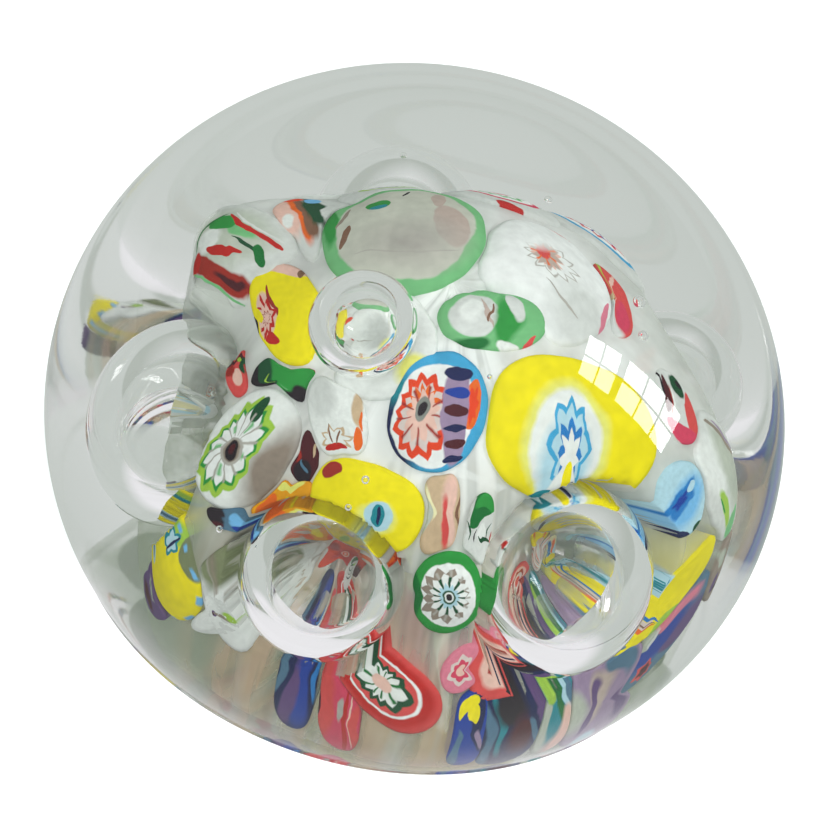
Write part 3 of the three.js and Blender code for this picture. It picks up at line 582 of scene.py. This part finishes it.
OUTLINE_STEPS = 72
OUTLINE_TURNS = 2 * math.pi * np.arange(OUTLINE_STEPS) / OUTLINE_STEPS
BISECTIONS = 13
REACH = 12 * MM
SAMPLES = 33
TOP_RINGS = 16
SIDE_RINGS = 5
FLOOR_RINGS = 4
RIM_START = 0.93
RIM_DROP = 0.15 * MM
CORNER_SOFTNESS = 7  # degrees


def touching_plane(middle):
    """A spot on the core and the directions there that run to the right and up in the front view."""
    spot = middle * float(gather_radius(np.array(middle)))
    sideways = (VIEW_RIGHT - middle * VIEW_RIGHT.dot(middle)).normalized()
    return spot, sideways, middle.cross(sideways)


def cane_frame(tree, points):
    """A cane's middle, its right and up directions, and its floor's distance from the heart."""
    points = points - HEART_XYZ
    along = points / np.linalg.norm(points, axis=1)[:, None]
    spot, sideways, upward = touching_plane(Vector(along.mean(0)).normalized())

    def hit_at(x, y):
        way = (spot + sideways * x + upward * y).normalized()
        return way, tree.ray_cast(HEART, way)[0]

    ticks = np.linspace(-REACH, REACH, SAMPLES)
    grid = np.array([(x, y) for x in ticks for y in ticks])
    hits = np.array([hit_at(x, y)[1] is not None for x, y in grid])
    inside = grid[hits]
    outside = grid[~hits]
    room = np.linalg.norm(inside[:, None] - outside[None], axis=2).min(1)
    balanced = (inside * room[:, None] ** 2).sum(0) / (room**2).sum()
    way, hit = hit_at(*balanced)
    if not hit:
        way, hit = hit_at(*inside[room.argmax()])
    return *touching_plane(way), (hit - HEART).length


def traced_outline(tree, spot, sideways, upward):
    """How far a cane reaches from its middle at each angle, in the plane that touches the core."""
    reach = []
    for turn in OUTLINE_TURNS:
        side = sideways * math.cos(turn) + upward * math.sin(turn)
        low = 0.0
        high = REACH
        for _ in range(BISECTIONS):
            middle = (low + high) / 2
            if tree.ray_cast(HEART, (spot + side * middle).normalized())[0]:
                low = middle
            else:
                high = middle
        reach.append(low)
    return np.array(reach)


def softened(reach):
    """An outline with its corners rounded off."""
    step = 360 / OUTLINE_STEPS
    width = int(3 * CORNER_SOFTNESS / step) + 1
    total = np.zeros_like(reach)
    weight = 0
    for shift in range(-width, width + 1):
        k = math.exp(-0.5 * (shift * step / CORNER_SOFTNESS) ** 2)
        total += k * np.roll(reach, shift)
        weight += k
    return total / weight


def slice_rings():
    """Each ring of a slice: its share of the outline, its drop below the face and its depth's share."""
    rings = []
    for k in range(1, TOP_RINGS + 1):
        share = k / TOP_RINGS
        past = max(0, (share - RIM_START) / (1 - RIM_START))
        rings.append((share, RIM_DROP * (1 - math.sqrt(1 - past**2)), 0.0))
    rings += [(1.0, RIM_DROP, k / SIDE_RINGS) for k in range(1, SIDE_RINGS + 1)]
    rings += [(1 - k / FLOOR_RINGS, RIM_DROP, 1.0) for k in range(1, FLOOR_RINGS)]
    return rings


def cane_piece(node, material, inset):
    """A cane slice in the core's surface, with its pattern's coordinates kept at its points."""
    tree = tree_of([node])
    spot, sideways, upward, floor = cane_frame(tree, coordinates(node))
    reach = softened(traced_outline(tree, spot, sideways, upward))
    thickness = spot.length - floor
    circle = np.stack([np.cos(OUTLINE_TURNS), np.sin(OUTLINE_TURNS)], 1)
    outline = circle * reach[:, None] @ np.array([sideways, upward])

    def place(share, drop, depth):
        along = np.array(spot) + share * outline
        along /= np.linalg.norm(along, axis=1)[:, None]
        top = gather_radius(along) - inset
        radius = (top - drop) * (1 - depth) + (top - thickness) * depth
        return above_ground(HEART_XYZ + along * radius[:, None])

    rings = slice_rings()
    verts = []
    pattern = []
    for share, drop, depth in rings:
        verts += list(place(share, drop, depth))
        pattern += [(share * x, share * y, depth) for x, y in circle]
    verts += [place(0.0, 0.0, 0.0)[0], place(0.0, 0.0, 1.0)[0]]
    pattern += [(0, 0, 0), (0, 0, 1)]
    top = len(verts) - 2
    faces = grid_faces(len(rings), OUTLINE_STEPS, flip=True)
    faces += ring_ends(0, (len(rings) - 1) * OUTLINE_STEPS, OUTLINE_STEPS, top, top + 1)
    piece = make_piece(node.replace("_cane", "_slice"), verts, faces, node, [material])
    attribute = piece.data.attributes.new("pattern", "FLOAT_VECTOR", "POINT")
    attribute.data.foreach_set("vector", np.array(pattern, dtype=float).ravel())


# ------------ materials


def linear(value):
    """One channel of an sRGB colour as linear light."""
    return value / 12.92 if value <= 0.04045 else ((value + 0.055) / 1.055) ** 2.4


def rgba(code):
    """A hex colour as linear RGBA."""
    return (*(linear(int(code[i : i + 2], 16) / 255) for i in (0, 2, 4)), 1)


class Graph:
    """The node tree of a material or a world, with short ways to add to it."""

    def __init__(self, name, world=False):
        self.owner = (bpy.data.worlds if world else bpy.data.materials).new(name)
        self.owner.use_nodes = True
        self.tree = self.owner.node_tree
        self.tree.nodes.clear()
        self.output = self.node("OutputWorld" if world else "OutputMaterial")

    def node(self, kind, inputs=(), **settings):
        """A new node. Its inputs are a list in their order, or a dict by name or number."""
        made = self.tree.nodes.new("ShaderNode" + kind)
        for key, value in settings.items():
            setattr(made, key, value)
        for key, value in inputs.items() if isinstance(inputs, dict) else enumerate(inputs):
            self.feed(made.inputs[key], value)
        return made

    def feed(self, socket, value):
        if isinstance(value, bpy.types.NodeSocket):
            self.tree.links.new(value, socket)
        else:
            socket.default_value = value

    def math(self, operation, *values, clamp=False):
        return self.node("Math", values, operation=operation, use_clamp=clamp).outputs[0]

    def ramp(self, value, slope, offset):
        """Slope times the value plus an offset, kept between 0 and 1."""
        return self.math("MULTIPLY_ADD", value, slope, offset, clamp=True)

    def vector(self, operation, *values):
        return self.node("VectorMath", values, operation=operation).outputs[0]

    def parts(self, vector):
        """The x, y and z of a vector."""
        return self.node("SeparateXYZ", [vector]).outputs

    def within(self, vector, place, size, turn=0.0):
        """A vector as seen from a shape's own middle, in shares of its own size."""
        inputs = [vector, place, (0, 0, turn), size]
        return self.node("Mapping", inputs, vector_type="TEXTURE").outputs[0]

    def noise(self, place, scale, detail, roughness=0.5):
        inputs = {"Vector": place, "Scale": scale, "Detail": detail, "Roughness": roughness}
        return self.node("TexNoise", inputs).outputs

    def blend(self, share, a, b, kind="MIX"):
        """A mix of two colours."""
        return self.node("Mix", {0: share, 6: a, 7: b}, data_type="RGBA", blend_type=kind).outputs[2]

    def between(self, share, a, b):
        """A mix of two numbers."""
        return self.node("Mix", {0: share, 2: a, 3: b}, data_type="FLOAT").outputs[0]

    def finish(self, shader):
        self.feed(self.output.inputs["Surface"], shader.outputs[0])
        return self.owner


GLASS_IOR = 1.5
CRYSTAL_TINT = (0.985, 0.99, 0.985, 1)
GROUND_TINT = (0.97, 0.975, 0.965, 1)
GROUND_ROUGHNESS = 0.03
GROUND_SPREAD = 0.04  # how much the ground base's roughness varies
SCRATCH_STRETCH = (1.0, 0.12, 1.0)
SCRATCH_STRENGTH = 0.03
SCRATCH_DEPTH = 0.04 * MM
CASED_ROUGHNESS = 0.5


def glass(name, tint, roughness, finish=None):
    """Clear glass that lets the lamps through, so that what is cased in it is lit."""
    graph = Graph(name)
    inputs = {"Base Color": tint, "Transmission Weight": 1.0, "IOR": GLASS_IOR, "Roughness": roughness}
    shader = graph.node("BsdfPrincipled", inputs)
    if finish:
        finish(graph, shader)
    lamps = graph.node("BsdfTransparent", [tint])
    shadow = graph.node("LightPath").outputs["Is Shadow Ray"]
    return graph.finish(graph.node("MixShader", [shadow, shader.outputs[0], lamps.outputs[0]]))


def ground_finish(graph, shader):
    """The fine scratches and uneven polish of the ground base."""
    place = graph.node("TexCoord").outputs["Object"]
    stretched = graph.vector("MULTIPLY", place, SCRATCH_STRETCH)
    scratches = graph.noise(stretched, scale=900, detail=6.0, roughness=0.7)[0]
    patches = graph.noise(place, scale=160, detail=2.0)[0]
    rough = graph.math("MULTIPLY_ADD", patches, GROUND_SPREAD, GROUND_ROUGHNESS - GROUND_SPREAD / 2)
    inputs = {"Strength": SCRATCH_STRENGTH, "Distance": SCRATCH_DEPTH, "Height": scratches}
    graph.feed(shader.inputs["Roughness"], rough)
    graph.feed(shader.inputs["Normal"], graph.node("Bump", inputs).outputs[0])


def matt(graph, colour, roughness, more):
    """A surface without gloss. What is cased has none, because it touches clear glass."""
    inputs = {"Base Color": colour, "Roughness": roughness, "Specular IOR Level": 0.0, **more}
    return graph.finish(graph.node("BsdfPrincipled", inputs))


EDGE_SOFTNESS = 0.03
BAR_WIDTH = 0.12
BAR_SHARPNESS = 8.0
ZIGZAG_SHIFT = 50.25  # whole turns, which keep the zigzag's input above 0, and a quarter


def parsed(layer):
    """A layer's colour name, its numbers, and its lettered options."""
    words = layer.split()
    options = {"x": 0.0, "y": 0.0, "a": 1.0, "b": 1.0, "t": 0.0, "s": EDGE_SOFTNESS, "w": BAR_WIDTH}
    numbers = []
    for word in words[1:]:
        if word[0].isalpha():
            options[word[0]] = float(word[1:])
        else:
            numbers.append(float(word))
    return words[0], numbers, options


class Pattern:
    """The nested shapes of a drawn cane, in coordinates that are 1 at its rim."""

    def __init__(self, graph, place):
        self.graph = graph
        self.place = place
        self.polar = {}
        self.stars = {}

    def around(self, key):
        """Distance from and angle about a layer's own middle."""
        if key not in self.polar:
            graph = self.graph
            x, y, a, b, t = key
            place = graph.within(self.place, (x, y, 0), (a, b, 1), math.radians(t))
            right, up, _ = graph.parts(place)
            squares = graph.math("MULTIPLY", right, right), graph.math("MULTIPLY", up, up)
            squares = graph.math("ADD", *squares)
            self.polar[key] = graph.math("SQRT", squares), graph.math("ARCTAN2", up, right)
        return self.polar[key]

    def points(self, key, turn, count):
        """A zigzag from 0 to 0.5 that goes round a number of times."""
        if (key, count) not in self.stars:
            spread = self.graph.math("MULTIPLY_ADD", turn, count / (2 * math.pi), ZIGZAG_SHIFT)
            self.stars[key, count] = self.graph.math("PINGPONG", spread, 0.5)
        return self.stars[key, count]

    def share(self, numbers, options):
        """How much of a layer covers each point."""
        graph = self.graph
        key = tuple(options[k] for k in "xyabt")
        q, turn = self.around(key)
        edge = radius = numbers[0] if numbers else 1.0
        slope = 1 / options["s"]
        if len(numbers) == 3:
            cut = radius * numbers[2]
            edge = graph.math("MULTIPLY_ADD", self.points(key, turn, numbers[1]), 2 * cut, radius - cut)
        found = graph.ramp(graph.math("SUBTRACT", edge, q), slope, 0.5)
        if "i" in options:
            past = graph.ramp(graph.math("SUBTRACT", q, options["i"]), slope, 0.5)
            found = graph.math("MULTIPLY", found, past)
        if "n" in options:
            zigzag = self.points(key, turn, options["n"])
            thin = graph.ramp(graph.math("SUBTRACT", options["w"], zigzag), BAR_SHARPNESS, 0.5)
            found = graph.math("MULTIPLY", found, thin)
        return found


NOISE_STRIDE = (7.3, 3.1, 1.7)  # how far the next cane's noise is from this one's
DRIFTS = ((1.6, 0.09), (7.0, 0.022))  # each noise that bends a pattern: its scale and its reach
STREAK_STRETCH = (7.0, 7.0, 0.5)
STREAK_DEPTH = 0.35
STREAK_MIDDLE = 0.55


def cane_material(name, look, number):
    """Drawn glass: nested star and ring colours that run through the whole slice."""
    graph = Graph(name)
    place = graph.node("Attribute", attribute_name="pattern").outputs["Vector"]
    shifted = graph.vector("ADD", place, tuple(number * stride for stride in NOISE_STRIDE))
    for scale, size in DRIFTS:
        drift = graph.noise(shifted, scale, detail=1.0)["Color"]
        centred = graph.vector("SUBTRACT", drift, (0.5, 0.5, 0.5))
        place = graph.vector("MULTIPLY_ADD", centred, (2 * size, 2 * size, 0.0), place)
    pattern = Pattern(graph, place)
    layers = [parsed(layer) for layer in look.split(";")]
    rim = layers[0][0]
    colour = rgba(PALETTE[rim])
    cover = OPACITY.get(rim, 1.0)
    for kind, numbers, options in layers[1:]:
        share = pattern.share(numbers, options)
        colour = graph.blend(share, colour, rgba(PALETTE[kind]))
        opacity = OPACITY.get(kind, 1.0)
        if opacity != cover:
            cover = graph.between(share, cover, opacity)
    streaks = graph.noise(graph.vector("MULTIPLY", shifted, STREAK_STRETCH), scale=1.0, detail=3.0)[0]
    shade = graph.math("MULTIPLY_ADD", streaks, STREAK_DEPTH, 1 - STREAK_DEPTH * STREAK_MIDDLE)
    tone = graph.node("CombineXYZ", [shade] * 3).outputs[0]
    colour = graph.blend(1.0, colour, tone, "MULTIPLY")
    return matt(graph, colour, CASED_ROUGHNESS, {"Alpha": cover})


CORE_FADE = 20 * MM  # the height over which the core turns from clear to milky
CORE_FADE_START = 0.35
CORE_STREAKS = 9.0  # how finely the drawn glass is streaked round the axis
CORE_CLIMB = 45.0  # and along it
CORE_CLOUDS = (240.0, 240.0, 70.0)
CORE_CLEAR = "8f9a84"
CORE_BEIGE = "c9b496"
CORE_VEIL = "c4c8be"
CORE_MILK = "e4e8e5"


def core_material():
    """Clear glass clouded with milky and tinted streaks, which the canes left as they were drawn."""
    graph = Graph("streaked_crystal")
    place = graph.node("TexCoord").outputs["Object"]
    height = graph.math("SUBTRACT", graph.parts(place)[2], HEART.z)
    rise = graph.ramp(height, 1 / CORE_FADE, CORE_FADE_START)
    outward = graph.vector("NORMALIZE", graph.vector("MULTIPLY", place, (1.0, 1.0, 0.0)))
    climb = graph.vector("MULTIPLY", place, (0.0, 0.0, CORE_CLIMB))
    drawn = graph.vector("MULTIPLY_ADD", outward, (CORE_STREAKS, CORE_STREAKS, 0.0), climb)
    tint = graph.noise(drawn, scale=1.0, detail=2.0)[0]
    veil = graph.noise(drawn, scale=0.6, detail=3.0)[0]
    cloud = graph.noise(graph.vector("MULTIPLY", place, CORE_CLOUDS), scale=1.0, detail=3.0)[0]
    front = graph.ramp(graph.parts(outward)[1], slope=-5.0, offset=-3.4)
    warm = graph.math("MULTIPLY", front, graph.ramp(tint, slope=6.0, offset=-2.2))
    colour = graph.blend(warm, rgba(CORE_CLEAR), rgba(CORE_BEIGE))
    colour = graph.blend(graph.ramp(veil, slope=6.0, offset=-3.0), colour, rgba(CORE_VEIL))
    colour = graph.blend(rise, colour, rgba(CORE_MILK))
    haze = graph.math("MULTIPLY_ADD", cloud, 0.9, -0.2)
    haze = graph.math("MULTIPLY_ADD", warm, 0.3, haze)
    return matt(graph, colour, CASED_ROUGHNESS, {"Alpha": graph.ramp(rise, 0.5, haze)})


# ------------ the object

clear = glass("crystal", CRYSTAL_TINT, 0.0)
base = glass("ground_crystal", GROUND_TINT, GROUND_ROUGHNESS, ground_finish)

dome_piece(clear, base)
core_piece(core_material())
for number, (name, look) in enumerate(CANE_LOOKS.items()):
    inset = CANE_INSET + CANE_STEP * (number % CANE_STEPS)
    cane_piece(name + "_cane", cane_material(name, look, number + 1), inset)


# ------------ stage, lights and camera

FLOOR_HALF = 3.0
FLOOR_DROP = 0.2 * MM
FLOOR_COLOUR = (0.9, 0.92, 0.92, 1)
FLOOR_ROUGHNESS = 0.9
FLOOR_GLOW = 0.2
TABLE_GREY = (0.56, 0.60, 0.57, 1)
TABLE_BRIGHT = (0.86, 0.85, 0.88, 1)
PATCH_PLACE = (0, -0.6 * DOME_RADIUS, 0)
PATCH_SIZE = (DOME_RADIUS, 0.38 * DOME_RADIUS, 1)
PATCH_EDGE = 0.25  # the soft share of the patch


def stage_plane(name, corners, material):
    """Flat panes of four corners each, which aren't part of the object."""
    mesh = bpy.data.meshes.new(name)
    panes = [[4 * k + i for i in range(4)] for k in range(len(corners) // 4)]
    mesh.from_pydata(corners, [], panes)
    mesh.materials.append(material)
    plane = bpy.data.objects.new(name, mesh)
    bpy.context.scene.collection.objects.link(plane)
    return plane


def pale_floor():
    """A matt floor that glows a little."""
    more = {"Emission Color": FLOOR_COLOUR, "Emission Strength": FLOOR_GLOW}
    return matt(Graph("floor"), FLOOR_COLOUR, FLOOR_ROUGHNESS, more)


def lit_table():
    """A glowing table with the bright patch that light gathers into under the front of the weight."""
    graph = Graph("grey_table")
    place = graph.within(graph.node("TexCoord").outputs["Object"], PATCH_PLACE, PATCH_SIZE)
    measure = graph.node("VectorMath", [place], operation="LENGTH").outputs["Value"]
    bright = graph.ramp(measure, -1 / PATCH_EDGE, 1 / PATCH_EDGE)
    return graph.finish(graph.node("Emission", [graph.blend(bright, TABLE_GREY, TABLE_BRIGHT)]))


def floor_plane(name, material, to_camera):
    """A floor that only the camera sees, or that only the glass and the light see."""
    corners = [(-1, -1), (1, -1), (1, 1), (-1, 1)]
    corners = [(x * FLOOR_HALF, y * FLOOR_HALF, -FLOOR_DROP) for x, y in corners]
    plane = stage_plane(name, corners, material)
    plane.visible_camera = to_camera
    plane.visible_diffuse = not to_camera
    plane.visible_glossy = not to_camera
    plane.visible_transmission = not to_camera
    plane.visible_shadow = False


WORLD_LOW = (0.44, 0.48, 0.44, 1)
WORLD_HIGH = (0.80, 0.82, 0.82, 1)
SIDE_SHADE = 0.45  # how much darker the room is at the sides


def room():
    """A soft grey room that is brighter overhead and darker at the sides."""
    graph = Graph("studio", world=True)
    side, _, up = graph.parts(graph.node("TexCoord").outputs["Generated"])
    rise = graph.ramp(graph.math("ABSOLUTE", side), -SIDE_SHADE, up)
    return graph.finish(graph.node("Background", [graph.blend(rise, WORLD_LOW, WORLD_HIGH)]))


WINDOW_PLACE = Vector((0.808, 0.102, 0.581)).normalized() * 1.2
WINDOW_WIDTH = 0.27
SASHES = ((-0.38, 0.085, 3), (0.125, 0.36, 2))  # each one's bottom, top and rows of panes
GLAZING_BAR = 0.014
SKY_MIRRORED = 13.0
SKY_THROUGH_GLASS = 0.6


def daylight():
    """The sky outside, bright enough to be mirrored, and dimmer where it shows through the weight."""
    graph = Graph("daylight")
    crossings = graph.node("LightPath").outputs["Transmission Depth"]
    through = graph.math("COMPARE", crossings, 2.0, 0.5)
    strength = graph.math("MULTIPLY_ADD", through, SKY_THROUGH_GLASS - SKY_MIRRORED, SKY_MIRRORED)
    return graph.finish(graph.node("Emission", {"Strength": strength}))


def pane_ends(low, high, count, index):
    """Where one of a row of panes starts and ends, between its glazing bars."""
    start = low + (high - low) * index / count + GLAZING_BAR / 2
    end = low + (high - low) * (index + 1) / count - GLAZING_BAR / 2
    return start, end


def window():
    """A bright window of two sashes, which the dome mirrors."""
    across = Vector((0, 0, 1)).cross(WINDOW_PLACE).normalized()
    upward = WINDOW_PLACE.cross(across).normalized()
    corners = []
    for low, high, rows in SASHES:
        for row in range(rows):
            for column in range(2):
                y0, y1 = pane_ends(low, high, rows, row)
                x0, x1 = pane_ends(-WINDOW_WIDTH / 2, WINDOW_WIDTH / 2, 2, column)
                for x, y in ((x0, y0), (x1, y0), (x1, y1), (x0, y1)):
                    corners.append(WINDOW_PLACE + across * x + upward * y)
    stage_plane("window", corners, daylight()).visible_camera = False


# Each lamp's name, place, size and power.
LAMPS = [
    ("window_light", WINDOW_PLACE, 0.45, 9.0),
    ("key", (-0.5, -0.6, 0.9), 0.5, 4.8),
    ("fill", (0.2, -0.9, 0.5), 0.5, 2.2),
]


def lamp(name, place, size, power):
    """A soft square lamp that shines at the weight and isn't mirrored in it."""
    light = bpy.data.lights.new(name, "AREA")
    light.size = size
    light.energy = power
    thing = bpy.data.objects.new(name, light)
    thing.visible_glossy = False
    thing.visible_transmission = False
    bpy.context.scene.collection.objects.link(thing)
    thing.location = place
    thing.rotation_mode = "QUATERNION"
    away = Vector(place) - Vector((0, 0, DOME_HEIGHT / 2))
    thing.rotation_quaternion = away.to_track_quat("Z", "Y")


CAMERA_DISTANCE = 0.42
CAMERA_SHARE = 0.8984  # of the picture's width that the dome's outline takes
CAMERA_SHIFT = (-0.00266, -0.00145)
CAMERA_TARGET = Vector((0, 0, DOME_HEIGHT * 18 / 52))  # the middle of the dome's widest circle
SENSOR_WIDTH = 36


def place_camera():
    """The camera at the photograph's viewing angle."""
    camera = bpy.data.objects.new("camera", bpy.data.cameras.new("camera"))
    bpy.context.scene.collection.objects.link(camera)
    bpy.context.scene.camera = camera
    turned = Matrix((VIEW_RIGHT, VIEW_UP, VIEW_BACK)).transposed()
    camera.rotation_mode = "QUATERNION"
    camera.rotation_quaternion = turned.to_quaternion()
    camera.location = CAMERA_TARGET + VIEW_BACK * CAMERA_DISTANCE
    half = DOME_RADIUS / math.sqrt(CAMERA_DISTANCE**2 - DOME_RADIUS**2)
    camera.data.sensor_width = SENSOR_WIDTH
    camera.data.lens = SENSOR_WIDTH / 2 / (half / CAMERA_SHARE)
    camera.data.shift_x, camera.data.shift_y = CAMERA_SHIFT
    camera.data.clip_start = 0.01


BOUNCES = 28  # enough for light to leave the glass, the bubbles and the slices again


def look_settings():
    """Plain colours, denoising, and enough bounces for glass inside glass."""
    bpy.context.scene.view_settings.view_transform = "Standard"
    cycles = bpy.context.scene.cycles
    cycles.use_denoising = True
    for kind in ("max", "transmission", "glossy", "transparent_max"):
        setattr(cycles, kind + "_bounces", BOUNCES)


floor_plane("floor", pale_floor(), True)
floor_plane("grey_table", lit_table(), False)
bpy.context.scene.world = room()
window()
for settings in LAMPS:
    lamp(*settings)
place_camera()
look_settings()
